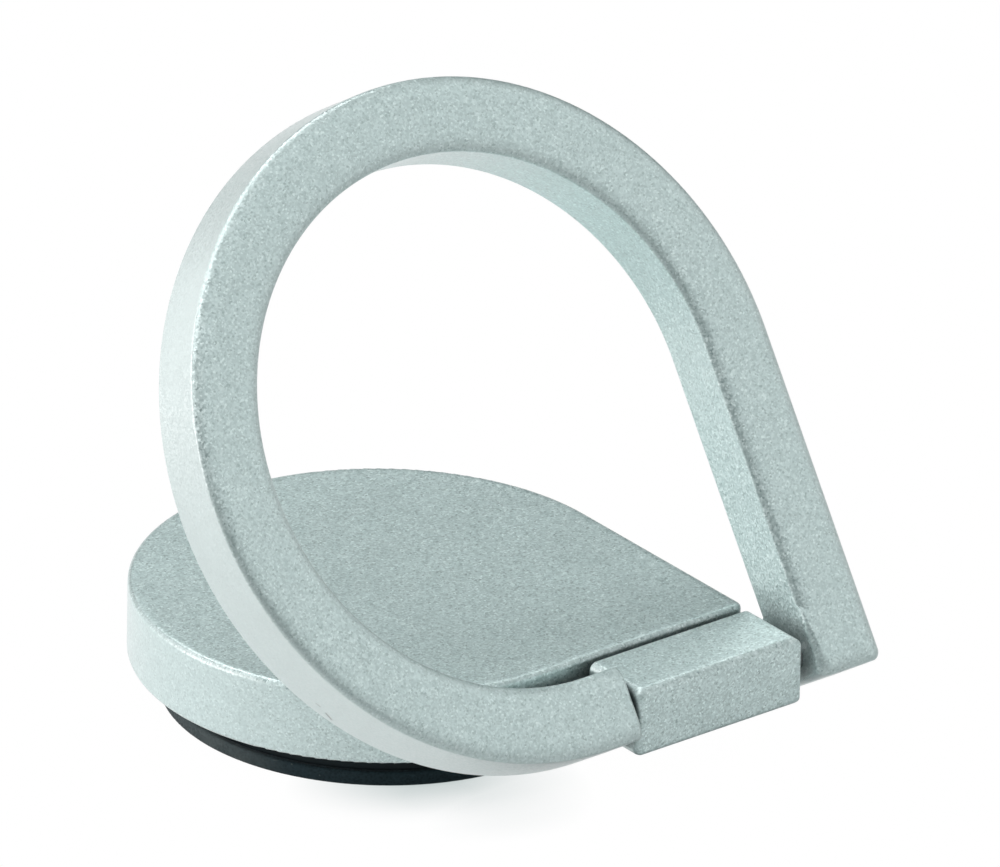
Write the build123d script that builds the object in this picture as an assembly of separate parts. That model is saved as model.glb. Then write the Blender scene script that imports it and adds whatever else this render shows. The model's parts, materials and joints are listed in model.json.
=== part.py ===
from build123d import *
import os

# Phone ring holder: a drop-shaped cast plate that swivels on a round adhesive foot, and a finger ring of
# the same drop shape, hinged on the plate's straight side, that nests round the plate when folded flat.
# Millimetres, +Z up. The origin is the middle of the adhesive face, which lies on z = 0. The hinge side
# faces -Y, and the square corner of the drop points towards +X and -Y.

# Ring
ring_outer_radius = 20.0
ring_width = 4.4
ring_thickness = 4.3
ring_gap = 0.9  # left between the plate and the folded ring
ring_edge_round = 0.4
ring_corner_round = 0.55
ring_inner_corner_round = 0.25
ring_open_angle = 56.3  # as the ring stands at rest, counted from folded flat

# Plate
plate_thickness = 4.5
plate_edge_round = 0.3
plate_corner_round = 0.5

# Hinge block, which fills the stretch that the ring's band leaves out
block_left = 2.8
block_right_inset = 0.1  # inside the plate's right side
block_edge_round = 0.5
block_back_round = 0.15
groove_width = 0.65
groove_depth = 2.0
web_root = 1.0  # how far the web below the groove reaches into the plate
hinge_side_gap = 0.2
hinge_outset = 0.45  # the pin's axis in front of the middle of the ring's band

# Hinge pin and the slit sleeve that grips it
pin_radius = 0.75
pin_seat_left = 6.0
pin_recess = 0.1
pin_chamfer = 0.15
pin_hole_spare = 0.3
pin_clearance = 0.03
sleeve_wall = 0.35
sleeve_slit = 0.5
sleeve_inset = 0.4

# Adhesive pad and turntable
pad_radius = 12.85
pad_thickness = 0.9
pad_edge_round = 0.15
turntable_inset = 0.3  # inside the pad's edge
turntable_clearance = 0.3
turntable_edge_round = 0.2
plate_lift = 1.4  # the plate's underside above the pad
recess_depth = 1.5
slide_gap = 0.05

# Swivel rivet and spring washer
rivet_head_radius = 4.2
rivet_head_thickness = 0.7
rivet_pad_gap = 0.1
rivet_shank_radius = 2.0
rivet_shank_clearance = 0.05
rivet_spigot_radius = 1.5
rivet_spigot_length = 2.0
rivet_hole_spare = 0.2
rivet_pocket_clearance = 0.5
washer_thickness = 0.25
washer_height = 0.5
washer_bore_clearance = 0.2
washer_inset = 0.2
washer_gap = 0.02

# Heights
plate_bottom = pad_thickness + plate_lift
plate_top = plate_bottom + plate_thickness
ring_bottom = plate_top - ring_thickness
recess_top = plate_bottom + recess_depth
turntable_top = recess_top - slide_gap
rivet_head_bottom = pad_thickness + rivet_pad_gap
rivet_head_top = rivet_head_bottom + rivet_head_thickness
pocket_top = rivet_head_top + washer_height + washer_gap

# The drop outline at its offsets, the round foot, and the hinge axis in the ring's band
ring_inner_radius = ring_outer_radius - ring_width
plate_radius = ring_inner_radius - ring_gap
turntable_radius = pad_radius - turntable_inset
hinge_y = -(ring_outer_radius - ring_width / 2 + hinge_outset)
hinge_z = plate_top - ring_thickness / 2
hinge_axis = Axis((0, hinge_y, hinge_z), (1, 0, 0))

# Places along the hinge
block_right = plate_radius - block_right_inset
notch_left = block_left - hinge_side_gap
notch_right = block_right + hinge_side_gap
pin_left = notch_left - pin_seat_left
pin_right = ring_outer_radius - pin_recess


def drop(radius, corner_round):
    """Three quarters of a circle, with two straight sides that run on into one rounded square corner."""
    arc = CenterArc((0, 0), radius, 0, 270)
    hinge_side = Line((0, -radius), (radius, -radius))
    right_side = Line((radius, -radius), (radius, 0))
    outline = make_face([arc, hinge_side, right_side])
    corner = outline.vertices().sort_by_distance((radius, -radius))[0]
    return fillet(corner, corner_round)


def turned(*points):
    """A solid turned about Z from the half section through the (radius, height) points."""
    section = Plane.XZ * make_face(Polyline(*points, close=True))
    return revolve(section, Axis.Z)


def upright_rod(radius, low, high):
    """A round rod on the swivel axis from low to high."""
    return Pos(0, 0, low) * Cylinder(radius, high - low, align=(Align.CENTER, Align.CENTER, Align.MIN))


def hinge_rod(radius, left, right):
    """A round rod along the hinge axis from left to right."""
    along_x = Pos(left, hinge_y, hinge_z) * Rot(0, 90, 0)
    return along_x * Cylinder(radius, right - left, align=(Align.CENTER, Align.CENTER, Align.MIN))


def at_ends(shape, left, right):
    """The upright edges of a shape that stand at either of two places along X."""
    upright = shape.edges().filter_by(Axis.Z)
    return upright.filter_by_position(Axis.X, left, left) + upright.filter_by_position(Axis.X, right, right)


def hinge_block():
    """The block and the web that carries it, one section drawn along X."""
    front = -ring_outer_radius
    back = -(plate_radius + groove_width)
    root = -(plate_radius - web_root)
    web_top = plate_top - groove_depth
    section = Polyline(
        (front, ring_bottom),
        (root, ring_bottom),
        (root, web_top),
        (back, web_top),
        (back, plate_top),
        (front, plate_top),
        close=True,
    )
    block = extrude(Plane.YZ.offset(block_left) * make_face(section), block_right - block_left)
    long_edges = block.edges().filter_by(Axis.X).group_by(Axis.Y)[0]
    front_edges = at_ends(block, block_left, block_right).group_by(Axis.Y)[0]
    across = block.edges().filter_by(Axis.Y)
    top_edges = across.group_by(Axis.Z)[-1]
    bottom_edges = across.group_by(Axis.Z)[0]
    block = fillet(long_edges + front_edges + top_edges + bottom_edges, block_edge_round)
    back_edge = block.edges().filter_by(Axis.X).group_by(Axis.Z)[-1].sort_by(Axis.Y)[-1]
    return fillet(back_edge, block_back_round)


def base_plate():
    """The drop-shaped casting with its hinge block, swivel recess and rivet hole."""
    plate = Pos(0, 0, plate_bottom) * extrude(drop(plate_radius, plate_corner_round), plate_thickness)
    rims = plate.edges().group_by(Axis.Z)
    plate = fillet(rims[-1] + rims[0], plate_edge_round)
    plate += hinge_block()
    plate -= upright_rod(turntable_radius + turntable_clearance, plate_bottom, recess_top)
    rivet_hole_top = recess_top + rivet_spigot_length + rivet_hole_spare
    plate -= upright_rod(rivet_spigot_radius, recess_top, rivet_hole_top)
    return plate - hinge_rod(pin_radius + pin_clearance + sleeve_wall, block_left, block_right)


def ring():
    """The drop-shaped finger ring, cast flat, notched for the block, bored for the pin and swung open."""
    outline = drop(ring_outer_radius, ring_corner_round) - drop(ring_inner_radius, ring_inner_corner_round)
    notch_middle = (notch_left + notch_right) / 2
    notch = Pos(notch_middle, hinge_y) * Rectangle(notch_right - notch_left, 2 * ring_width)
    band = Pos(0, 0, ring_bottom) * extrude(outline - notch, ring_thickness)
    faces = band.faces().sort_by(Axis.Z)
    rims = faces[-1].edges() + faces[0].edges()
    band = fillet(rims + at_ends(band, notch_left, notch_right), ring_edge_round)
    band -= hinge_rod(pin_radius, pin_left - pin_hole_spare, ring_outer_radius)
    return band.rotate(hinge_axis, ring_open_angle)


def hinge_pin():
    """The plain steel pin, chamfered at both ends."""
    pin = hinge_rod(pin_radius, pin_left, pin_right)
    return chamfer(pin.edges().filter_by(GeomType.CIRCLE), pin_chamfer)


def friction_sleeve():
    """The sleeve inside the block, slit along its length so that it springs on the pin."""
    bore = pin_radius + pin_clearance
    left = block_left + sleeve_inset
    right = block_right - sleeve_inset
    sleeve = hinge_rod(bore + sleeve_wall, left, right) - hinge_rod(bore, left, right)
    middle = Pos((left + right) / 2, hinge_y, hinge_z)
    slit = Box(right - left, sleeve_slit, bore + sleeve_wall, align=(Align.CENTER, Align.CENTER, Align.MAX))
    return sleeve - middle * slit


def adhesive_pad():
    """The foam pad that sticks to the phone."""
    pad = turned((0, 0), (pad_radius, 0), (pad_radius, pad_thickness), (0, pad_thickness))
    return fillet(pad.edges().filter_by(GeomType.CIRCLE), pad_edge_round)


def turntable():
    """The plastic disc on the pad, bored for the rivet's shank and pocketed below for its head."""
    pocket = rivet_head_radius + rivet_pocket_clearance
    bore = rivet_shank_radius + rivet_shank_clearance
    disc = turned(
        (pocket, pad_thickness),
        (turntable_radius, pad_thickness),
        (turntable_radius, turntable_top),
        (bore, turntable_top),
        (bore, pocket_top),
        (pocket, pocket_top),
    )
    rim = disc.edges().filter_by(GeomType.CIRCLE).group_by(Axis.Z)[-1].sort_by(SortBy.RADIUS)[-1]
    return fillet(rim, turntable_edge_round)


def swivel_rivet():
    """The rivet: a flat head, a shank that the turntable runs on, and a spigot pressed into the plate."""
    spigot_top = recess_top + rivet_spigot_length
    return turned(
        (0, rivet_head_bottom),
        (rivet_head_radius, rivet_head_bottom),
        (rivet_head_radius, rivet_head_top),
        (rivet_shank_radius, rivet_head_top),
        (rivet_shank_radius, recess_top),
        (rivet_spigot_radius, recess_top),
        (rivet_spigot_radius, spigot_top),
        (0, spigot_top),
    )


def spring_washer():
    """The coned washer between the rivet's head and the turntable."""
    inner = rivet_shank_radius + washer_bore_clearance
    outer = rivet_head_radius - washer_inset
    top = rivet_head_top + washer_height
    return turned(
        (inner, rivet_head_top),
        (outer, top - washer_thickness),
        (outer, top),
        (inner, rivet_head_top + washer_thickness),
    )


pieces = [
    base_plate,
    ring,
    hinge_pin,
    friction_sleeve,
    adhesive_pad,
    turntable,
    swivel_rivet,
    spring_washer,
]

os.makedirs("parts", exist_ok=True)
for piece in pieces:
    export_step(piece(), f"parts/{piece.__name__}.step")
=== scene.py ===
# %% [markdown]
# # A drop-shaped phone ring holder
#
# The holder is a cast plate on a round black foot, with a cast finger ring of the same drop shape hinged
# on one side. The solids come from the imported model, in metres and already in place. This lesson adds what
# a plain solid can't carry: the camera and the light, the soft-edged painted ring, the foam pad, and the
# finish of every piece.

import json
import math

import bpy
from mathutils import Matrix, Vector


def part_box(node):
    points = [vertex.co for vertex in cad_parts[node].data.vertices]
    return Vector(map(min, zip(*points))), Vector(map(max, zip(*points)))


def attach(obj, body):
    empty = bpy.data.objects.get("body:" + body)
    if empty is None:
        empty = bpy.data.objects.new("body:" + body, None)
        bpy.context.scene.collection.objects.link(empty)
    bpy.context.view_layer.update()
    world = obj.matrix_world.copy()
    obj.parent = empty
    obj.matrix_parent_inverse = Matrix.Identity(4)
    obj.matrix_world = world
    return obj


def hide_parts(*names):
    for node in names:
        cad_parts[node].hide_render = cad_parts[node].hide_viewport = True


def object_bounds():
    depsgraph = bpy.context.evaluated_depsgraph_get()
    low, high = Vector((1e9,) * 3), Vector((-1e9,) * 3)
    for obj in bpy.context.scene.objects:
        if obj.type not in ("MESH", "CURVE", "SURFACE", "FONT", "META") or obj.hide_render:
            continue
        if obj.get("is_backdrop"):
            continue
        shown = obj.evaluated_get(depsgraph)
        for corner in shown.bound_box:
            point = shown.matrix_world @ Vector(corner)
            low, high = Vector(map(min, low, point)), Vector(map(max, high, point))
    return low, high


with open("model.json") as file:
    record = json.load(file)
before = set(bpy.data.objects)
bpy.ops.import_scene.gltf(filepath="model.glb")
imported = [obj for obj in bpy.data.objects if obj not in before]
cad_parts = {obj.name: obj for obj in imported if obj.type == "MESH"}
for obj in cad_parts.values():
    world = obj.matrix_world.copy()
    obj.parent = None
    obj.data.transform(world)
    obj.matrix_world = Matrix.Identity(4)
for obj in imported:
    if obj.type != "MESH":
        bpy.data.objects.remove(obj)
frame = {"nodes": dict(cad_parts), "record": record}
cad_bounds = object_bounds()
nodes = frame["nodes"]
print("nodes:", ", ".join(sorted(nodes)))

# %% [markdown]
# The picture was taken from the front left, a little above the ring's middle, with a lens so long that
# parallel edges stay parallel. A camera can be placed by hand or worked out. Here it is worked out: two
# angles and a roll turn a set of three axes, and the camera stands back along the last of them.

# %% Camera
MM = 0.001
camera_turn = math.radians(-38.757)
camera_rise = math.radians(26.119)
camera_roll = math.radians(1.04)
camera_distance = 1.9
picture_width = 57.25 * MM  # how much of the object's plane the picture takes in
aim_height = 11.781 * MM
aim_right = 6.568 * MM
aim_up = 3.905 * MM


def camera_axes(turn, rise, roll):
    """The camera's own right, up and backward axes."""
    back = Vector((math.sin(turn) * math.cos(rise), -math.cos(turn) * math.cos(rise), math.sin(rise)))
    level = Vector((math.cos(turn), math.sin(turn), 0))
    upright = back.cross(level)
    right = level * math.cos(roll) + upright * math.sin(roll)
    return right, back.cross(right), back


right, up, back = camera_axes(camera_turn, camera_rise, camera_roll)
camera_data = bpy.data.cameras.new("camera")
camera_data.sensor_width = 36.0
camera_data.lens = camera_data.sensor_width * camera_distance / picture_width
camera = bpy.data.objects.new("camera", camera_data)
aim = Vector((0, 0, aim_height)) + right * aim_right + up * aim_up
axes = Matrix((right, up, back)).transposed().to_4x4()
camera.matrix_world = Matrix.Translation(aim + back * camera_distance) @ axes
bpy.context.scene.collection.objects.link(camera)
bpy.context.scene.camera = camera
bpy.context.scene.view_settings.view_transform = "Standard"
print(f"camera: {camera_data.lens:.0f} mm lens, {camera_distance} m away")

# %% [markdown]
# Materials and Geometry Nodes are both trees of nodes, and a tree is easier to read when a node takes one
# line. This helper adds a node, sets its options and fills its inputs: another node's socket is linked, and
# a plain number or colour is set on the input. The others make the small groups that come back often.

# %% Helpers for node trees


def fill(tree, socket, value):
    """Links an input to another node's output, or sets it to a plain value."""
    if isinstance(value, bpy.types.NodeSocket):
        tree.links.new(value, socket)
    else:
        socket.default_value = value


def add(tree, kind, inputs=None, **options):
    """A new node, with its options set and its inputs linked or filled."""
    node = tree.nodes.new(kind)
    for name, value in options.items():
        setattr(node, name, value)
    for name, value in (inputs or {}).items():
        fill(tree, node.inputs[name], value)
    return node


def calc(tree, operation, *values):
    """The result of one step of arithmetic."""
    return add(tree, "ShaderNodeMath", dict(enumerate(values)), operation=operation).outputs[0]


def vector_calc(tree, operation, *values):
    """The result of one step of vector arithmetic."""
    return add(tree, "ShaderNodeVectorMath", dict(enumerate(values)), operation=operation).outputs[0]


def dot(tree, one, other):
    """The dot product of two vectors."""
    return add(tree, "ShaderNodeVectorMath", {0: one, 1: other}, operation="DOT_PRODUCT").outputs["Value"]


def span(tree, value, low, high):
    """A value from 0 to 1 mapped to the range from low to high."""
    return add(tree, "ShaderNodeMapRange", {"Value": value, "To Min": low, "To Max": high}).outputs["Result"]


def ramp(tree, factor, *stops):
    """A colour ramp through (place, colour) stops."""
    node = add(tree, "ShaderNodeValToRGB", {"Fac": factor})
    elements = node.color_ramp.elements
    while len(elements) < len(stops):
        elements.new(1.0)
    for element, (place, colour) in zip(elements, stops):
        element.position = place
        element.color = (*colour, 1.0)
    return node.outputs["Color"]


def new_material(name):
    """A material with an empty tree, its surface shader and its object coordinates."""
    material = bpy.data.materials.new(name)
    material.use_nodes = True
    tree = material.node_tree
    tree.nodes.clear()
    shader = add(tree, "ShaderNodeBsdfPrincipled")
    add(tree, "ShaderNodeOutputMaterial", {"Surface": shader.outputs[0]})
    place = add(tree, "ShaderNodeTexCoord").outputs["Object"]
    return material, tree, shader, place


print("helpers ready")

# %% [markdown]
# The object stands on a white sheet, which must stay white up to the picture's edge and still carry the
# soft shadow that hugs the foot. A lit sheet alone would turn grey under the ring, so rays from the camera,
# and mirror rays, see the sheet as plain white, darkened only where something stands within a few
# millimetres, and most where the ring dips before the foot. The light that falls on the sheet and comes
# back up to the metal is the sheet's own.

# %% Floor
floor_half = 3.0
floor_drop = 0.02 * MM
shadow_reach = 4.0 * MM
shadow_middle = Vector((-6.1, -13.1, 0)) * MM  # where the shadow is deepest
shadow_core = 2.0 * MM
shadow_spread = 9.0 * MM
shadow_depth = 0.5  # how much of the shadow is kept in its core
shadow_rest = 0.02  # and beyond its spread
shadow_colour = (0.35, 0.44, 0.435)


def flat_sheet(name, corners, material):
    """One four-sided sheet that belongs to the stage."""
    mesh = bpy.data.meshes.new(name)
    mesh.from_pydata(corners, [], [(0, 1, 2, 3)])
    sheet = bpy.data.objects.new(name, mesh)
    mesh.materials.append(material)
    bpy.context.scene.collection.objects.link(sheet)
    sheet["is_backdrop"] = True
    return sheet


def seen_directly(tree):
    """One for the camera's rays and for mirrored and refracted ones, else zero."""
    path = add(tree, "ShaderNodeLightPath").outputs
    mirrored = calc(tree, "MAXIMUM", path["Is Glossy Ray"], path["Is Transmission Ray"])
    return calc(tree, "MAXIMUM", path["Is Camera Ray"], mirrored)


floor_paper, tree, shader, place = new_material("floor_paper")
shader.inputs["Base Color"].default_value = (0.93, 0.93, 0.93, 1)
shader.inputs["Roughness"].default_value = 1.0
shader.inputs["Specular IOR Level"].default_value = 0.0
nearness = add(tree, "ShaderNodeAmbientOcclusion", {"Distance": shadow_reach}, samples=12)
off = add(tree, "ShaderNodeVectorMath", {0: place, 1: shadow_middle}, operation="DISTANCE").outputs["Value"]
fade = {"Value": off, "From Min": shadow_core, "From Max": shadow_spread}
fade |= {"To Min": shadow_depth, "To Max": shadow_rest}
weight = add(tree, "ShaderNodeMapRange", fade).outputs["Result"]
painted_shade = calc(tree, "MULTIPLY", calc(tree, "SUBTRACT", 1, nearness.outputs["AO"]), weight)
paper = ramp(tree, painted_shade, (0.01, (1, 1, 1)), (0.58, shadow_colour))
white = add(tree, "ShaderNodeEmission", {"Color": paper})
mixed = add(tree, "ShaderNodeMixShader", {0: seen_directly(tree), 1: shader.outputs[0], 2: white.outputs[0]})
tree.links.new(mixed.outputs[0], tree.nodes["Material Output"].inputs["Surface"])
square = [(-1, -1), (1, -1), (1, 1), (-1, 1)]
floor = flat_sheet("floor", [(x * floor_half, y * floor_half, -floor_drop) for x, y in square], floor_paper)
print("floor laid")

# %% [markdown]
# Metal shows what stands around it. On a white table under a white tent every edge would look the same, so
# a photographer stands dark cards just outside the picture: each edge that mirrors a card gets a dark line,
# and each edge that mirrors the tent a light one. One card stands in front and one behind, and both are
# hidden from the camera itself. A sheet of greyer paper before the hinge, hidden from the camera and casting
# no shadow, stands in for the shade on the table there and takes some of the light off the block's front.

# %% Dark cards


def around(turn, distance, height):
    """A point at a compass turn from straight in front."""
    angle = math.radians(turn)
    return Vector((math.sin(angle) * distance, -math.cos(angle) * distance, height))


def matt_paper(name, colour):
    """A paper without any gloss."""
    material, tree, shader, place = new_material(name)
    shader.inputs["Base Color"].default_value = (*colour, 1)
    shader.inputs["Roughness"].default_value = 1.0
    return material


dark_card = matt_paper("dark_card", (0.05, 0.055, 0.055))
front_paper = matt_paper("front_paper", (0.7, 0.72, 0.72))
card_distance = 0.5
card_foot = 0.002
sheet_ends = (-26 * MM, 60 * MM)
sheet_sides = (-70 * MM, -17 * MM)
sheet_height = 0.05 * MM


def standing_card(name, turns, top):
    """An upright card between two compass turns, hidden from the camera."""
    low_left, low_right = [around(turn, card_distance, card_foot) for turn in turns]
    lift = Vector((0, 0, top - card_foot))
    card = flat_sheet(name, [low_left, low_right, low_right + lift, low_left + lift], dark_card)
    card.visible_camera = False
    print(f"{name}: {top - card_foot:.2f} m high")


standing_card("front_card", (-72, 5), 0.36)
standing_card("back_card", (95, 182), 0.6)
(left_end, right_end), (near_side, far_side) = sheet_ends, sheet_sides
level_corners = [(left_end, near_side), (right_end, near_side), (right_end, far_side), (left_end, far_side)]
front_corners = [Vector((x, y, sheet_height)) for x, y in level_corners]
# The grey sheet stands in for the shade on the table before the hinge.
front_sheet = flat_sheet("front_sheet", front_corners, front_paper)
front_sheet.visible_camera = False
front_sheet.visible_shadow = False
print("front_sheet: lies before the hinge")

# %% [markdown]
# The light comes from a large soft lamp low on the left, which whitens the left walls, one behind and one
# overhead. Large lamps close by give the soft, even shading of a light tent. The white world fills in the
# rest: for matt paint it gets brighter towards the back and the top, and in a mirror it is plain white.

# %% Lamps
lamp_distance = 0.6
lamps = {
    "left": (-120, 15, 0.5, 1.75, (1.0, 0.86, 0.86)),
    "back": (150, 50, 0.4, 3.0, (1.0, 1.0, 1.0)),
    "top": (-90, 70, 0.4, 1.6, (1.0, 1.0, 1.0)),
}
for name, (turn, rise, size, power, tint) in lamps.items():
    lamp_data = bpy.data.lights.new(f"{name}_lamp", "AREA")
    lamp_data.shape = "SQUARE"
    lamp_data.size = size
    lamp_data.energy = power
    lamp_data.color = tint
    lamp = bpy.data.objects.new(lamp_data.name, lamp_data)
    reach = lamp_distance * math.cos(math.radians(rise))
    lamp.location = around(turn, reach, aim_height + lamp_distance * math.sin(math.radians(rise)))
    lamp.rotation_euler = (lamp.location - Vector((0, 0, aim_height))).to_track_quat("Z", "Y").to_euler()
    lamp.visible_camera = False
    bpy.context.scene.collection.objects.link(lamp)

room_strength = 0.8
room_slope = (0, 0.6, 0.2)  # how much brighter the tent gets towards the back and the top
mirror_strength = 1.0
world = bpy.data.worlds.new("room")
bpy.context.scene.world = world
world.use_nodes = True
tree = world.node_tree
tree.nodes.clear()
direction = add(tree, "ShaderNodeTexCoord").outputs["Generated"]
matt = calc(tree, "MAXIMUM", calc(tree, "ADD", dot(tree, direction, room_slope), room_strength), 0)
strength = add(tree, "ShaderNodeMix", {0: seen_directly(tree), 2: matt, 3: mirror_strength}).outputs[0]
sky = add(tree, "ShaderNodeBackground", {"Color": (1, 1, 1, 1), "Strength": strength})
add(tree, "ShaderNodeOutputWorld", {"Surface": sky.outputs[0]})
print("lamps:", ", ".join(lamps))

# %% [markdown]
# The plate and the ring are zinc castings under one coat of matt silver paint. Its metal flakes are a tenth
# of a millimetre across. Each has a shade and a small tilt of its own, so the flat faces look like fine
# sand. On the outer walls the flakes are evened out as painted light, for the washed-out look of lit walls:
# on the plate mostly where the wall faces the lamp on the left, on the ring towards a paler colour. The
# paint is also darker in gaps and along the edges of the faces, as painted shade. These helpers work out
# where each of this is so, from the way the surface faces and from what stands close by.

# %% Where the paint changes
flake_scale = 9000.0  # flakes to the metre
crevice_reach = 1.5 * MM
# Painted shade: the paint is darkened deep in gaps and along the edges of the faces.
deep_gap_shade = 0.25  # what is left of the paint's shade deep in a gap
edge_line_shade = 0.8  # and where it draws back from an edge
paint_dark = Vector((0.29, 0.39, 0.385))
paint_middle = Vector((0.44, 0.56, 0.553))
paint_light = Vector((0.61, 0.735, 0.725))
# A paler paint for the ring's outer walls: painted light, for the washed-out look of lit walls.
painted_lit_wall = Vector((0.49, 0.575, 0.568))


def flake_shades(tree, shade, contrast):
    """A shade for every flake, with few flakes much darker or lighter than the rest."""
    stops = []
    for where, deviation in ((0.0, -2.0), (0.08, -0.9), (0.5, 0.0), (0.92, 0.9), (1.0, 2.0)):
        end = paint_light if deviation > 0 else paint_dark
        stops.append((where, paint_middle.lerp(end, abs(deviation) * contrast)))
    return ramp(tree, shade, *stops)


def wall_smoothing(tree, place, middle, face_axis, smoothness, lean):
    """How far the flakes are evened out, as painted light: most on outward walls, with a lean to the lit
    left.
    """
    facing = add(tree, "ShaderNodeTexCoord").outputs["Normal"]
    wall = calc(tree, "SUBTRACT", 1, calc(tree, "ABSOLUTE", dot(tree, facing, face_axis)))
    from_middle = vector_calc(tree, "SUBTRACT", place, middle)
    outer = calc(tree, "GREATER_THAN", dot(tree, facing, from_middle), 0)
    left = calc(tree, "POWER", calc(tree, "MAXIMUM", dot(tree, facing, (-1, 0, 0)), 0), lean)
    outer = calc(tree, "MULTIPLY", outer, left)
    return calc(tree, "MULTIPLY", wall, calc(tree, "MULTIPLY", outer, smoothness))


def painted_gap_shading(tree):
    """One on open surfaces, falling off in gaps as painted shade, where light hardly reaches."""
    share = add(tree, "ShaderNodeAmbientOcclusion", {"Distance": crevice_reach}, samples=8).outputs["AO"]
    inputs = {"Value": share, "From Min": 0.3, "From Max": 0.75, "To Min": deep_gap_shade, "To Max": 1.0}
    return add(tree, "ShaderNodeMapRange", inputs).outputs["Result"]


def painted_edge_shading(tree, face_axis):
    """Less than one along the edges of the faces: a painted dark line of shade."""
    facing = add(tree, "ShaderNodeTexCoord").outputs["Normal"]
    share = calc(tree, "ABSOLUTE", dot(tree, facing, face_axis))
    past_face = add(tree, "ShaderNodeMapRange", {"Value": share, "From Min": 0.995, "From Max": 0.92})
    before_wall = add(tree, "ShaderNodeMapRange", {"Value": share, "From Min": 0.3, "From Max": 0.6})
    edge = calc(tree, "MULTIPLY", past_face.outputs["Result"], before_wall.outputs["Result"])
    return span(tree, edge, 1.0, edge_line_shade)


print("flakes:", flake_scale * MM, "to the millimetre")

# %% [markdown]
# The paint itself is one material for both castings. A flat grey with noise would look like stone, so each
# flake is a cell of a Voronoi pattern, with its own random shade and its own tilt, and a clear lacquer on
# top gives the soft light lines. A shallow relief, which each piece brings along, goes under both.

# %% Silver flake paint


def flake_paint(name, middle, face_axis, contrast, flake_tilt, wall_colour, walls, relief, depth, low_shade):
    """Matt silver paint over a shallow relief, with flakes that each have their own shade and tilt."""
    material, tree, shader, place = new_material(name)
    chance = add(tree, "ShaderNodeTexVoronoi", {"Vector": place, "Scale": flake_scale}).outputs["Color"]
    red, green, blue = add(tree, "ShaderNodeSeparateColor", {"Color": chance}).outputs
    tipped = add(tree, "ShaderNodeCombineXYZ", {"X": green, "Y": blue, "Z": red}).outputs[0]
    centred = vector_calc(tree, "SUBTRACT", tipped, (0.5, 0.5, 0.5))
    tilt = add(tree, "ShaderNodeVectorMath", {0: centred, "Scale": flake_tilt}, operation="SCALE").outputs[0]
    straight = add(tree, "ShaderNodeNewGeometry").outputs["Normal"]
    normal = vector_calc(tree, "NORMALIZE", vector_calc(tree, "ADD", straight, tilt))
    # Painted light: on outer walls the flakes are evened out towards the wall colour.
    smooth = wall_smoothing(tree, place, middle, face_axis, *walls)
    evened = {0: smooth, 6: flake_shades(tree, red, contrast), 7: (*wall_colour, 1)}
    colour = add(tree, "ShaderNodeMix", evened, data_type="RGBA").outputs[2]
    clouds = add(tree, "ShaderNodeTexNoise", {"Vector": place, "Scale": 400.0, "Detail": 3.0}).outputs["Fac"]
    # Painted shade in gaps and along edges darkens the colour and thins the lacquer there.
    painted_shade = calc(tree, "MULTIPLY", painted_gap_shading(tree), painted_edge_shading(tree, face_axis))
    height = relief(tree, place)
    tone = calc(tree, "MULTIPLY", span(tree, clouds, 0.96, 1.04), painted_shade)
    tone = calc(tree, "MULTIPLY", tone, span(tree, height, low_shade, 1.0))
    tinted = add(tree, "ShaderNodeMix", {0: 1.0, 6: colour, 7: tone}, data_type="RGBA", blend_type="MULTIPLY")
    fill(tree, shader.inputs["Base Color"], tinted.outputs[2])
    fill(tree, shader.inputs["Roughness"], span(tree, clouds, 0.36, 0.44))
    shader.inputs["Metallic"].default_value = 0.4
    fill(tree, shader.inputs["Coat Weight"], painted_shade)
    shader.inputs["Coat IOR"].default_value = 1.8
    shader.inputs["Coat Roughness"].default_value = 0.35
    grain = add(tree, "ShaderNodeTexNoise", {"Vector": place, "Scale": 7000.0, "Detail": 2.0}).outputs["Fac"]
    rough = {"Height": grain, "Strength": 0.15, "Distance": 0.02 * MM, "Normal": normal}
    fine = add(tree, "ShaderNodeBump", rough).outputs[0]
    shaped = add(tree, "ShaderNodeBump", {"Height": height, "Distance": depth, "Normal": fine}).outputs[0]
    fill(tree, shader.inputs["Normal"], shaped)
    fill(tree, shader.inputs["Coat Normal"], shaped)
    return material


print("paint: ready for the plate and the ring")

# %% [markdown]
# The plate is the CAD solid with this paint. On the real one the rim is softer than the solid's small
# fillet: the top and the wall both roll off towards it for about a millimetre, as a casting does after
# tumbling. The roll is only a few hundredths of a millimetre deep, so it is a relief in the paint: the
# height falls with the distance from the rim, which is a circle on three sides and two straight lines at
# the square corner.

# %% The plate's rolled rim
plate_low, plate_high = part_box("base_plate")
plate_radius = plate_high.x
plate_top = plate_high.z
plate_middle = (0, 0, (plate_low.z + plate_top) / 2)
roll_depth = 0.06 * MM
top_roll = (0.1 * MM, 0.6 * MM)  # where the roll ends and starts, inwards from the rim
wall_roll = (0.2 * MM, 1.2 * MM)  # and downwards from the top


def from_axis(tree, place):
    """The distance from the swivel axis."""
    level = vector_calc(tree, "MULTIPLY", place, (1, 1, 0))
    return add(tree, "ShaderNodeVectorMath", {0: level}, operation="LENGTH").outputs["Value"]


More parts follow.
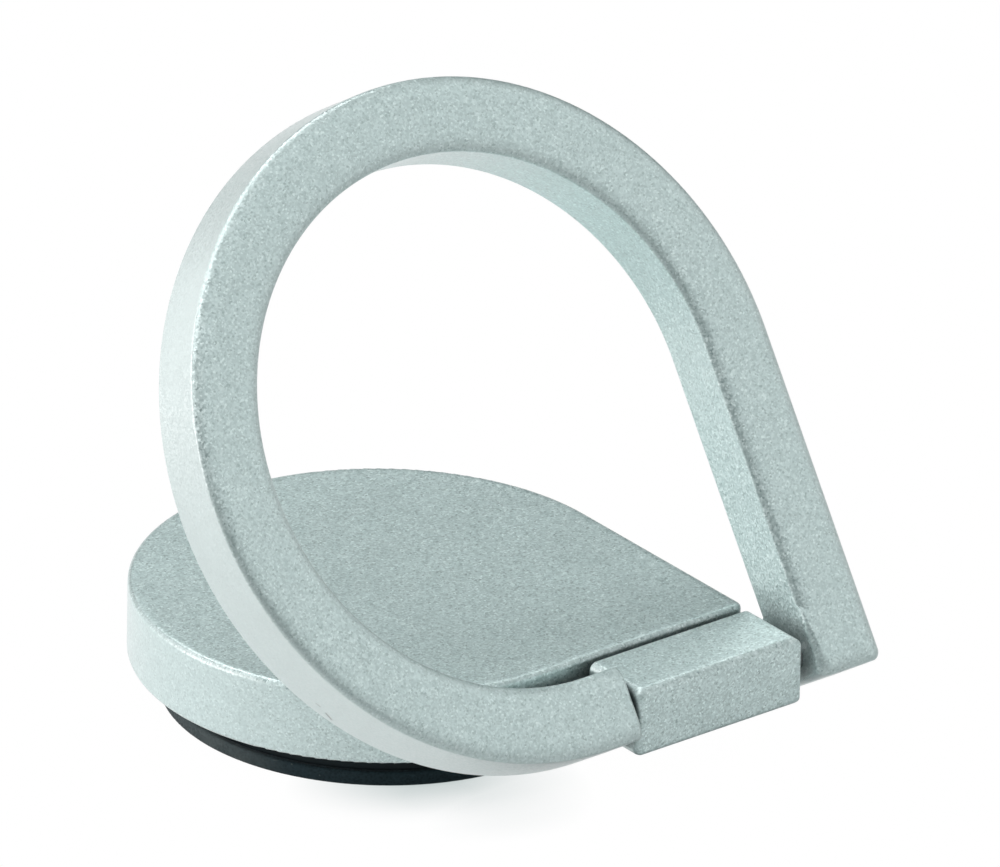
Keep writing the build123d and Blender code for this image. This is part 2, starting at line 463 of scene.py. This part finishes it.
def rolled_rim(tree, place):
    """The height of the plate's surface, which falls off towards the rim on the top and on the wall."""
    x, y, z = add(tree, "ShaderNodeSeparateXYZ", {0: place}).outputs
    forward = calc(tree, "MULTIPLY", y, -1)
    corner = calc(tree, "MAXIMUM", x, forward)
    in_corner = calc(tree, "GREATER_THAN", calc(tree, "MINIMUM", x, forward), 0)
    out = add(tree, "ShaderNodeMix", {0: in_corner, 2: from_axis(tree, place), 3: corner}).outputs[0]
    inwards = calc(tree, "SUBTRACT", plate_radius, out)
    downwards = calc(tree, "SUBTRACT", plate_top, z)
    height = 1.0
    for way, (end, start) in ((inwards, top_roll), (downwards, wall_roll)):
        roll = {"Value": way, "From Min": start, "From Max": end}
        part = add(tree, "ShaderNodeMapRange", roll).outputs["Result"]
        height = calc(tree, "SUBTRACT", height, calc(tree, "MULTIPLY", part, part))
    return height


def dress(name, material):
    """Gives a CAD node its finish in place of the plain one."""
    for entry in nodes[name].material_slots:
        entry.material = material
    print(f"{name}: {material.name}")


plate_paint = flake_paint(
    "plate_paint",
    middle=plate_middle,
    face_axis=(0, 0, 1),
    contrast=0.72,
    flake_tilt=0.08,
    wall_colour=paint_middle,
    walls=(0.6, 3),
    relief=rolled_rim,
    depth=roll_depth,
    low_shade=1.0,
)
dress("base_plate", plate_paint)

# %% [markdown]
# The next two pieces are grown by Geometry Nodes: a tree of nodes that makes a mesh from a few named sizes.
# These helpers start such a tree with an input for each size, read a value off a curve by its number, end
# the tree, and turn what it grows into a plain mesh.

# %% Helpers for geometry trees


def new_tree(name, sizes):
    """An empty geometry tree with a named input for each size."""
    tree = bpy.data.node_groups.new(name, "GeometryNodeTree")
    tree.interface.new_socket("Geometry", in_out="OUTPUT", socket_type="NodeSocketGeometry")
    for label, value in sizes.items():
        kind = "NodeSocketInt" if isinstance(value, int) else "NodeSocketFloat"
        tree.interface.new_socket(label, in_out="INPUT", socket_type=kind)
    return tree, tree.nodes.new("NodeGroupInput").outputs


def vector(tree, x, y, z):
    """A vector from three numbers."""
    return add(tree, "ShaderNodeCombineXYZ", {"X": x, "Y": y, "Z": z}).outputs[0]


def choose(tree, kind, number, *values):
    """One of a short list of values, by its number."""
    node = add(tree, "GeometryNodeIndexSwitch", data_type=kind)
    while len(node.index_switch_items) < len(values):
        node.index_switch_items.new()
    fill(tree, node.inputs[0], number)
    for socket, value in zip(node.inputs[1:], values):
        fill(tree, socket, value)
    return node.outputs[0]


def sample(tree, curve, value, number, kind="FLOAT_VECTOR"):
    """A value read off one point of a curve."""
    inputs = {"Geometry": curve, "Value": value, "Index": number}
    return add(tree, "GeometryNodeSampleIndex", inputs, data_type=kind).outputs[0]


def point_count(tree, curve):
    """How many points a curve has."""
    size = add(tree, "GeometryNodeAttributeDomainSize", {"Geometry": curve}, component="CURVE")
    return size.outputs["Point Count"]


def end_tree(tree, mesh, material, sharpest):
    """Smooth shading up to a limit, then plain geometry with its material."""
    smooth = add(tree, "GeometryNodeSetShadeSmooth", {"Geometry": mesh})
    angle = add(tree, "GeometryNodeInputMeshEdgeAngle").outputs["Unsigned Angle"]
    sharp = calc(tree, "GREATER_THAN", angle, math.radians(sharpest))
    creases = {"Geometry": smooth.outputs[0], "Selection": sharp, "Shade Smooth": False}
    creased = add(tree, "GeometryNodeSetShadeSmooth", creases, domain="EDGE")
    real = add(tree, "GeometryNodeRealizeInstances", {"Geometry": creased.outputs[0]})
    dressed = add(tree, "GeometryNodeSetMaterial", {"Geometry": real.outputs[0], "Material": material})
    add(tree, "NodeGroupOutput", {"Geometry": dressed.outputs[0]})


def grow(name, tree, sizes, material):
    """A plain mesh object from a geometry tree and its sizes."""
    piece = bpy.data.objects.new(name, bpy.data.meshes.new(name))
    bpy.context.scene.collection.objects.link(piece)
    modifier = piece.modifiers.new(name, "NODES")
    modifier.node_group = tree
    for entry in tree.interface.items_tree:
        if entry.in_out == "INPUT":
            modifier[entry.identifier] = sizes[entry.name]
    piece.modifiers.new("even_normals", "WEIGHTED_NORMAL").keep_sharp = True
    ready = piece.evaluated_get(bpy.context.evaluated_depsgraph_get())
    mesh = bpy.data.meshes.new_from_object(ready)
    piece.modifiers.clear()
    piece.data = mesh
    mesh.materials.clear()
    mesh.materials.append(material)
    print(f"{name}: {len(mesh.polygons)} faces")
    return piece


# %% [markdown]
# The finger ring is the main piece, and its shape follows a rule: one drop outline at two sizes, with a
# rounded band between them. It could be cut from a block and bevelled, but a bevel is round, and the cast
# band's edges aren't: they roll off softly over the face and turn sharply into the wall. So the band is
# swept. Each drop is a square path with three very large rounded corners and one small one, left open where
# the hinge block sits. On the right the opening reaches the inner wall, so that the arm runs straight down
# past the block with the same soft edge. A few points are doubled at each end, so that the ends can be
# rounded as well.

# %% The drop outlines
end_rows = 8
arc_steps = 45
corner_steps = 10
hinge = frame["record"]["behaviour"]["joints"][1]
ring_sizes = {
    "Outer Radius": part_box("ring")[1].x,
    "Band Width": 4.4 * MM,
    "Band Thickness": 4.3 * MM,
    "Outer Corner": 0.55 * MM,
    "Face Round": 1.25 * MM,
    "Wall Round": 0.45 * MM,
    "End Round": 0.3 * MM,
    "Notch Left": 2.6 * MM,
    "Inner Corner": 0.005 * MM,
    "Notch Right": 15.59 * MM,
    "Band Top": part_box("base_plate")[1].z,
    "Hinge Y": hinge["pos_m"][1],
    "Hinge Z": hinge["pos_m"][2],
    "Open Angle": math.radians(-hinge["range_deg"][0]),
    "Bore Radius": 0.75 * MM,
    "Bore Left": -3.7 * MM,
}


def end_rounding(tree, size, number, count):
    """How far a point at either end runs inwards, and what share of the section it keeps."""
    at_right = calc(tree, "LESS_THAN", number, count / 2)
    length = add(tree, "ShaderNodeMix", {0: at_right, 2: size["End Round"], 3: size["Face Round"]}).outputs[0]
    height = add(tree, "ShaderNodeMix", {0: at_right, 2: size["End Round"], 3: size["Wall Round"]}).outputs[0]
    step = calc(tree, "MINIMUM", number, calc(tree, "SUBTRACT", count - 1, number))
    part = calc(tree, "DIVIDE", calc(tree, "SUBTRACT", step, 1), end_rows - 2)
    part = calc(tree, "MINIMUM", calc(tree, "MAXIMUM", part, 0), 1)
    turn = calc(tree, "MULTIPLY", part, math.pi / 2)
    run = calc(tree, "MULTIPLY", calc(tree, "SUBTRACT", 1, calc(tree, "COSINE", turn)), length)
    inset = calc(tree, "MULTIPLY", calc(tree, "SUBTRACT", 1, calc(tree, "SINE", turn)), height)
    half = calc(tree, "MULTIPLY", size["Band Width"], 0.5)
    keep = calc(tree, "SUBTRACT", 1, calc(tree, "DIVIDE", inset, half))
    return run, calc(tree, "MULTIPLY", keep, calc(tree, "MINIMUM", step, 1))


def drop_path(tree, size, radius, corner, right_run):
    """One drop outline, from the notch's right end round to its left end."""
    count = 2 * end_rows + 4
    points = add(tree, "GeometryNodePoints", {"Count": count})
    number = add(tree, "GeometryNodeInputIndex").outputs[0]
    past_end = calc(tree, "SUBTRACT", number, end_rows - 1)
    stretch = calc(tree, "MINIMUM", calc(tree, "MAXIMUM", past_end, 0), 5)
    far = calc(tree, "MULTIPLY", radius, -1)
    right_end = vector(tree, size["Notch Right"], far, 0)
    square_corner = vector(tree, radius, far, 0)
    round_corners = [vector(tree, x, y, 0) for x, y in ((radius, radius), (far, radius), (far, far))]
    left_end = vector(tree, size["Notch Left"], far, 0)
    place = choose(tree, "VECTOR", stretch, right_end, square_corner, *round_corners, left_end)
    run, keep = end_rounding(tree, size, number, count)
    inwards = choose(tree, "FLOAT", stretch, right_run, 0.0, 0.0, 0.0, 0.0, -1.0)
    place = vector_calc(tree, "ADD", place, vector(tree, calc(tree, "MULTIPLY", run, inwards), 0, 0))
    placed = add(tree, "GeometryNodeSetPosition", {"Geometry": points.outputs[0], "Position": place})
    kept = {"Geometry": placed.outputs[0], "Name": "keep", "Value": keep}
    stored = add(tree, "GeometryNodeStoreNamedAttribute", kept)
    path = add(tree, "GeometryNodePointsToCurves", {"Points": stored.outputs[0], "Weight": number})
    rounding = choose(tree, "FLOAT", stretch, 0.0, corner, radius, radius, radius, 0.0)
    steps = choose(tree, "INT", stretch, 1, corner_steps, arc_steps, arc_steps, arc_steps, 1)
    inputs = {"Curve": path.outputs[0], "Count": steps, "Radius": rounding}
    return add(tree, "GeometryNodeFilletCurve", inputs, mode="POLY").outputs[0]


for label in ("Band Width", "Band Thickness", "Face Round", "Wall Round"):
    print(f"ring, {label}: {ring_sizes[label] / MM:.2f} mm")

# %% [markdown]
# The band's section is a rounded rectangle. Drawn too narrow and then stretched, its round corners become
# ellipses, long on the face and short on the wall. A sheet of points, one row for each place along the drop
# and one column for each place round the section, is then laid between the inner and the outer outline,
# swung open about the hinge, closed where its rims meet, and bored for the hinge pin.

# %% The swept band
section_steps = 12
bore_sides = 64


def band_section(tree, size):
    """The band's section, a rounded rectangle with elliptical corners."""
    stretch = calc(tree, "DIVIDE", size["Face Round"], size["Wall Round"])
    narrow = calc(tree, "DIVIDE", size["Band Width"], stretch)
    sides = {"Width": narrow, "Height": size["Band Thickness"]}
    box = add(tree, "GeometryNodeCurvePrimitiveQuadrilateral", sides)
    inputs = {"Curve": box.outputs[0], "Count": section_steps, "Radius": size["Wall Round"]}
    rounded = add(tree, "GeometryNodeFilletCurve", inputs, mode="POLY")
    widened = {"Geometry": rounded.outputs[0], "Scale": vector(tree, stretch, 1, 1)}
    return add(tree, "GeometryNodeTransform", widened).outputs[0]


def swept_band(tree, size):
    """The closed band between two drop outlines, swung open about the hinge."""
    inner_radius = calc(tree, "SUBTRACT", size["Outer Radius"], size["Band Width"])
    outer = drop_path(tree, size, size["Outer Radius"], size["Outer Corner"], 0.75)
    inner = drop_path(tree, size, inner_radius, size["Inner Corner"], 0.0)
    section = band_section(tree, size)
    columns = point_count(tree, section)
    rim = calc(tree, "ADD", columns, 1)
    sheet = add(tree, "GeometryNodeMeshGrid", {"Vertices X": point_count(tree, outer), "Vertices Y": rim})
    number = add(tree, "GeometryNodeInputIndex").outputs[0]
    row = calc(tree, "FLOOR", calc(tree, "DIVIDE", number, rim))
    column = calc(tree, "MODULO", calc(tree, "MODULO", number, rim), columns)
    position = add(tree, "GeometryNodeInputPosition").outputs[0]
    kept = add(tree, "GeometryNodeInputNamedAttribute", {"Name": "keep"}, data_type="FLOAT").outputs[0]
    keep = sample(tree, outer, kept, row, "FLOAT")
    spot = add(tree, "ShaderNodeSeparateXYZ", {0: sample(tree, section, position, column)}).outputs
    across = calc(tree, "DIVIDE", calc(tree, "MULTIPLY", spot["X"], keep), size["Band Width"])
    between = {
        0: calc(tree, "ADD", across, 0.5),
        4: sample(tree, inner, position, row),
        5: sample(tree, outer, position, row),
    }
    level = add(tree, "ShaderNodeMix", between, data_type="VECTOR").outputs[1]
    middle = calc(tree, "SUBTRACT", size["Band Top"], calc(tree, "MULTIPLY", size["Band Thickness"], 0.5))
    height = calc(tree, "ADD", middle, calc(tree, "MULTIPLY", spot["Y"], keep))
    folded = vector_calc(tree, "ADD", level, vector(tree, 0, 0, height))
    axis = vector(tree, 0, size["Hinge Y"], size["Hinge Z"])
    swing = {"Vector": folded, "Center": axis, "Angle": size["Open Angle"]}
    swung = add(tree, "ShaderNodeVectorRotate", swing, rotation_type="X_AXIS").outputs[0]
    shaped = add(tree, "GeometryNodeSetPosition", {"Geometry": sheet.outputs[0], "Position": swung})
    closed = add(tree, "GeometryNodeMergeByDistance", {"Geometry": shaped.outputs[0], "Distance": 0.001 * MM})
    return add(tree, "GeometryNodeFlipFaces", {"Mesh": closed.outputs[0]}).outputs[0]


def bored(tree, size, band):
    """The band with the pin's bore along the hinge."""
    length = calc(tree, "MULTIPLY", calc(tree, "SUBTRACT", size["Outer Radius"], size["Bore Left"]), 1.1)
    rod = {"Vertices": bore_sides, "Radius": size["Bore Radius"], "Depth": length}
    drill = add(tree, "GeometryNodeMeshCylinder", rod)
    middle = calc(tree, "ADD", size["Bore Left"], calc(tree, "MULTIPLY", length, 0.5))
    place = vector(tree, middle, size["Hinge Y"], size["Hinge Z"])
    laid = {"Geometry": drill.outputs[0], "Translation": place, "Rotation": (0, math.pi / 2, 0)}
    along_hinge = add(tree, "GeometryNodeTransform", laid)
    solids = {"Mesh 1": band, "Mesh 2": along_hinge.outputs[0]}
    return add(tree, "GeometryNodeMeshBoolean", solids, operation="DIFFERENCE", solver="EXACT").outputs[0]


print("section:", section_steps, "steps at each corner")

# %% [markdown]
# The ring in the picture has been handled: two small nicks show in its outer wall, low on the left. Each is
# a short line in the paint, so the distance to that line gives both its depth and its darker shade. Then
# the ring is grown, and it takes the place of the solid ring on the body that swings.

# %% The finger ring


def near_line(tree, place, start, end, width):
    """One on a short line between two points in millimetres, fading to zero at its sides."""
    first = Vector(start) * MM
    along = Vector(end) * MM - first
    offset = vector_calc(tree, "SUBTRACT", place, first)
    share = dot(tree, offset, along / along.length_squared)
    share = calc(tree, "MINIMUM", calc(tree, "MAXIMUM", share, 0), 1)
    nearest = add(tree, "ShaderNodeVectorMath", {0: along, "Scale": share}, operation="SCALE").outputs[0]
    gap = add(tree, "ShaderNodeVectorMath", {0: offset, 1: nearest}, operation="DISTANCE").outputs["Value"]
    inputs = {"Value": gap, "From Min": 0.0, "From Max": width * MM, "To Min": 1.0, "To Max": 0.0}
    return add(tree, "ShaderNodeMapRange", inputs).outputs["Result"]


def nicked_wall(tree, place):
    """The height of the ring's surface: one, but for two small nicks in its outer wall."""
    long_nick = near_line(tree, place, (-15.37, -14.25, 8.54), (-15.02, -14.29, 8.07), 0.1)
    short_nick = near_line(tree, place, (-15.94, -14.04, 9.26), (-15.76, -14.18, 9.07), 0.08)
    deepest = calc(tree, "MAXIMUM", long_nick, calc(tree, "MULTIPLY", short_nick, 0.6))
    return calc(tree, "SUBTRACT", 1, deepest)


open_angle = ring_sizes["Open Angle"]
swing = Matrix.Rotation(open_angle, 3, "X")
ring_axis = swing @ Vector((0, 0, 1))
hinge_place = Vector(hinge["pos_m"])
ring_middle = hinge_place + swing @ Vector((0, -hinge_place.y, 0))
ring_paint = flake_paint(
    "ring_paint",
    middle=ring_middle,
    face_axis=ring_axis,
    contrast=0.49,
    flake_tilt=0.2,
    wall_colour=painted_lit_wall,
    walls=(0.8, 0),
    relief=nicked_wall,
    depth=0.04 * MM,
    low_shade=0.45,
)
tree, size = new_tree("finger_ring", ring_sizes)
end_tree(tree, bored(tree, size, swept_band(tree, size)), ring_paint, 40)
finger_ring = grow("finger_ring", tree, ring_sizes, ring_paint)
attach(finger_ring, "loop")
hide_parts("ring")

# %% [markdown]
# The pad that sticks to the phone is a disc of black foam, cut with a punch, so its wall shows the open
# cells of the foam and its faces are flat. It could be a cylinder with a bumpy material, but the cells break
# the outline at the floor, so they are real dents here. A profile of the rim is turned round the swivel
# axis, and every point of the wall is pushed in where a cell of a seeded Voronoi pattern has its middle.

# %% The punched foam disc
turn_steps = 1080
pad_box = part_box("adhesive_pad")
pad_sizes = {
    "Radius": pad_box[1].x,
    "Thickness": pad_box[1].z,
    "Edge Round": 0.15 * MM,
    "Rim Depth": 0.5 * MM,
    "Row Spacing": 0.06 * MM,
    "Cells Per Metre": 4000.0,
    "Cell Depth": 0.025 * MM,
    "Seed": 7,
}


def rim_profile(tree, size):
    """The rim's profile, with its radius along X and its height along Y."""
    number = add(tree, "GeometryNodeInputIndex").outputs[0]
    inside = calc(tree, "SUBTRACT", size["Radius"], size["Rim Depth"])
    low = [vector(tree, x, 0, 0) for x in (inside, size["Radius"])]
    high = [vector(tree, x, size["Thickness"], 0) for x in (size["Radius"], inside)]
    place = choose(tree, "VECTOR", number, *low, *high)
    points = add(tree, "GeometryNodePoints", {"Count": 4, "Position": place})
    path = add(tree, "GeometryNodePointsToCurves", {"Points": points.outputs[0], "Weight": number})
    inputs = {"Curve": path.outputs[0], "Count": 6, "Radius": size["Edge Round"]}
    rounded = add(tree, "GeometryNodeFilletCurve", inputs, mode="POLY")
    even = {"Curve": rounded.outputs[0], "Length": size["Row Spacing"]}
    return add(tree, "GeometryNodeResampleCurve", even, mode="LENGTH").outputs[0]


def turned_disc(tree, size):
    """The closed disc: the profile at every step round the axis, and a middle point on either face."""
    profile = rim_profile(tree, size)
    last = calc(tree, "ADD", point_count(tree, profile), 1)
    columns = calc(tree, "ADD", last, 1)
    sheet = add(tree, "GeometryNodeMeshGrid", {"Vertices X": turn_steps + 1, "Vertices Y": columns})
    number = add(tree, "GeometryNodeInputIndex").outputs[0]
    row = calc(tree, "FLOOR", calc(tree, "DIVIDE", number, columns))
    column = calc(tree, "MODULO", number, columns)
    on_profile = calc(tree, "MAXIMUM", calc(tree, "SUBTRACT", column, 1), 0)
    on_profile = calc(tree, "MINIMUM", on_profile, calc(tree, "SUBTRACT", last, 2))
    from_edge = calc(tree, "MINIMUM", column, calc(tree, "SUBTRACT", last, column))
    position = add(tree, "GeometryNodeInputPosition").outputs[0]
    spot = add(tree, "ShaderNodeSeparateXYZ", {0: sample(tree, profile, position, on_profile)}).outputs
    radius = calc(tree, "MULTIPLY", spot["X"], calc(tree, "MINIMUM", from_edge, 1))
    angle = calc(tree, "MULTIPLY", calc(tree, "MODULO", row, turn_steps), 2 * math.pi / turn_steps)
    x = calc(tree, "MULTIPLY", radius, calc(tree, "COSINE", angle))
    y = calc(tree, "MULTIPLY", radius, calc(tree, "SINE", angle))
    placed = {"Geometry": sheet.outputs[0], "Position": vector(tree, x, y, spot["Y"])}
    shaped = add(tree, "GeometryNodeSetPosition", placed)
    closed = add(tree, "GeometryNodeMergeByDistance", {"Geometry": shaped.outputs[0], "Distance": 0.001 * MM})
    return closed.outputs[0]


def opened_cells(tree, size, disc):
    """The disc with the foam's cells sunk into its wall."""
    position = add(tree, "GeometryNodeInputPosition").outputs[0]
    normal = add(tree, "GeometryNodeInputNormal").outputs[0]
    pattern = {"Vector": position, "W": size["Seed"], "Scale": size["Cells Per Metre"]}
    cells = add(tree, "ShaderNodeTexVoronoi", pattern, voronoi_dimensions="4D")
    dent = {"Value": cells.outputs["Distance"], "From Min": 0.6, "From Max": 0.25}
    depth = add(tree, "ShaderNodeMapRange", dent, interpolation_type="SMOOTHSTEP").outputs["Result"]
    upright = calc(tree, "ABSOLUTE", add(tree, "ShaderNodeSeparateXYZ", {0: normal}).outputs["Z"])
    depth = calc(tree, "MULTIPLY", depth, calc(tree, "SUBTRACT", 1, upright))
    depth = calc(tree, "MULTIPLY", calc(tree, "MULTIPLY", depth, size["Cell Depth"]), -1)
    push = add(tree, "ShaderNodeVectorMath", {0: normal, "Scale": depth}, operation="SCALE").outputs[0]
    return add(tree, "GeometryNodeSetPosition", {"Geometry": disc, "Offset": push}).outputs[0]


print("foam cells:", pad_sizes["Cells Per Metre"] * MM, "to the millimetre")

# %% [markdown]
# Foam is matt, and a little lighter on the skin between its cells. A sticky edge also gathers what lies
# about: a fibre and two specks cling to the wall. Its left end, which faces the lamp, is lightened to
# grey as painted light. They lie in the colour alone, on top of the foam's own shade.

# %% The foam pad


def black_foam(name):
    """Matt black foam, a little lighter on the skin between its cells."""
    material, tree, shader, place = new_material(name)
    pores = add(tree, "ShaderNodeTexVoronoi", {"Vector": place, "Scale": 6500.0}).outputs["Distance"]
    colour = ramp(tree, pores, (0.1, (0.01, 0.021, 0.025)), (0.6, (0.014, 0.03, 0.037)))
    fibre = near_line(tree, place, (-11.84, -4.98, 0.78), (-11.66, -5.4, 0.86), 0.05)
    speck = near_line(tree, place, (-11.34, -6.03, 0.8), (-11.32, -6.06, 0.78), 0.07)
    far_speck = near_line(tree, place, (-10.44, -7.49, 0.42), (-10.43, -7.5, 0.4), 0.06)
    lint = calc(tree, "MAXIMUM", fibre, calc(tree, "MAXIMUM", speck, far_speck))
    # Painted light: the wall's left end, which faces the lamp, is lightened.
    side = {"Value": add(tree, "ShaderNodeSeparateXYZ", {0: place}).outputs["X"]}
    side |= {"From Min": -11.2 * MM, "From Max": -12.8 * MM}
    lamp_side = add(tree, "ShaderNodeMapRange", side, interpolation_type="SMOOTHSTEP").outputs["Result"]
    cloud = add(tree, "ShaderNodeTexNoise", {"Vector": place, "Scale": 900.0}).outputs["Fac"]
    painted_lit_end = calc(tree, "MULTIPLY", lamp_side, span(tree, cloud, 0.2, 0.9))
    lint_and_lit_end = calc(tree, "MAXIMUM", calc(tree, "MULTIPLY", lint, 0.7), painted_lit_end)
    lightened = {0: lint_and_lit_end, 6: colour, 7: (0.08, 0.1, 0.1, 1)}
    fill(tree, shader.inputs["Base Color"], add(tree, "ShaderNodeMix", lightened, data_type="RGBA").outputs[2])
    fill(tree, shader.inputs["Roughness"], span(tree, pores, 0.95, 0.7))
    shader.inputs["Specular IOR Level"].default_value = 0.2
    shader.inputs["Sheen Weight"].default_value = 0.15
    shader.inputs["Sheen Roughness"].default_value = 0.4
    rough = {"Height": pores, "Strength": 0.2, "Distance": 0.03 * MM}
    fill(tree, shader.inputs["Normal"], add(tree, "ShaderNodeBump", rough).outputs[0])
    return material


pad_foam = black_foam("pad_foam")
tree, size = new_tree("foam_pad", pad_sizes)
end_tree(tree, opened_cells(tree, size, turned_disc(tree, size)), pad_foam, 60)
foam_pad = grow("foam_pad", tree, pad_sizes, pad_foam)
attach(foam_pad, "foot")
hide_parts("adhesive_pad")

# %% [markdown]
# The turntable above the pad is a moulded disc of black plastic with a satin skin. Its wall is almost all
# that shows. Fine rings left by the turned mould run round it, so the pattern is made from the height and
# the distance from the swivel axis.

# %% Turntable plastic
mould_ring_rate = 30000.0  # radians of the rings' wave to the metre


def black_plastic(name):
    """Satin black plastic with the fine rings of a turned mould."""
    material, tree, shader, place = new_material(name)
    cloud = add(tree, "ShaderNodeTexNoise", {"Vector": place, "Scale": 600.0, "Detail": 4.0})
    colour = ramp(tree, cloud.outputs["Fac"], (0.3, (0.003, 0.008, 0.01)), (0.8, (0.006, 0.014, 0.017)))
    fill(tree, shader.inputs["Base Color"], colour)
    fill(tree, shader.inputs["Roughness"], span(tree, cloud.outputs["Fac"], 0.4, 0.6))
    shader.inputs["Specular IOR Level"].default_value = 0.15
    height = add(tree, "ShaderNodeSeparateXYZ", {0: place}).outputs["Z"]
    along = calc(tree, "ADD", from_axis(tree, place), height)
    rings = calc(tree, "SINE", calc(tree, "MULTIPLY", along, mould_ring_rate))
    relief = calc(tree, "ADD", calc(tree, "MULTIPLY", rings, 0.3), cloud.outputs["Fac"])
    rough = {"Height": relief, "Strength": 0.2, "Distance": 0.01 * MM}
    fill(tree, shader.inputs["Normal"], add(tree, "ShaderNodeBump", rough).outputs[0])
    return material


dress("turntable", black_plastic("turntable_plastic"))

# %% [markdown]
# The pin, the sleeve, the rivet and the washer are bare steel, and mostly hidden. Drawn, rolled and turned
# steel all carry fine lines along the way they were worked, so one material makes them all: a noise that is
# stretched along one direction, which shifts the shade, the gloss and the surface together.

# %% Bare steel


def bare_steel(name, shade, grain):
    """Bare steel with fine lines, drawn out along the direction with the smallest grain."""
    material, tree, shader, place = new_material(name)
    stretched = vector_calc(tree, "MULTIPLY", place, grain)
    lines = add(tree, "ShaderNodeTexNoise", {"Vector": stretched, "Scale": 1000.0, "Detail": 3.0})
    light = tuple(shade * k for k in (1.1, 1.11, 1.12))
    dark = tuple(shade * k for k in (0.85, 0.86, 0.88))
    fill(tree, shader.inputs["Base Color"], ramp(tree, lines.outputs["Fac"], (0.3, dark), (0.7, light)))
    fill(tree, shader.inputs["Roughness"], span(tree, lines.outputs["Fac"], 0.25, 0.45))
    shader.inputs["Metallic"].default_value = 1.0
    rough = {"Height": lines.outputs["Fac"], "Strength": 0.2, "Distance": 0.01 * MM}
    fill(tree, shader.inputs["Normal"], add(tree, "ShaderNodeBump", rough).outputs[0])
    return material


dress("hinge_pin", bare_steel("pin_steel", 0.6, (0.3, 6, 6)))
dress("friction_sleeve", bare_steel("sleeve_steel", 0.5, (0.3, 6, 6)))
dress("swivel_rivet", bare_steel("rivet_steel", 0.58, (1, 1, 12)))
dress("spring_washer", bare_steel("washer_steel", 0.5, (0.5, 8, 8)))

# %% [markdown]
# Last, the size of the dressed object is set beside the size of the solids. They should agree to a fraction
# of a millimetre, because everything stands in one frame.

# %% Sizes and finish
visual_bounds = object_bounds()
for name, box in (("solids", cad_bounds), ("dressed", visual_bounds)):
    print(name, [round(value / MM, 2) for corner in box for value in corner], "mm")
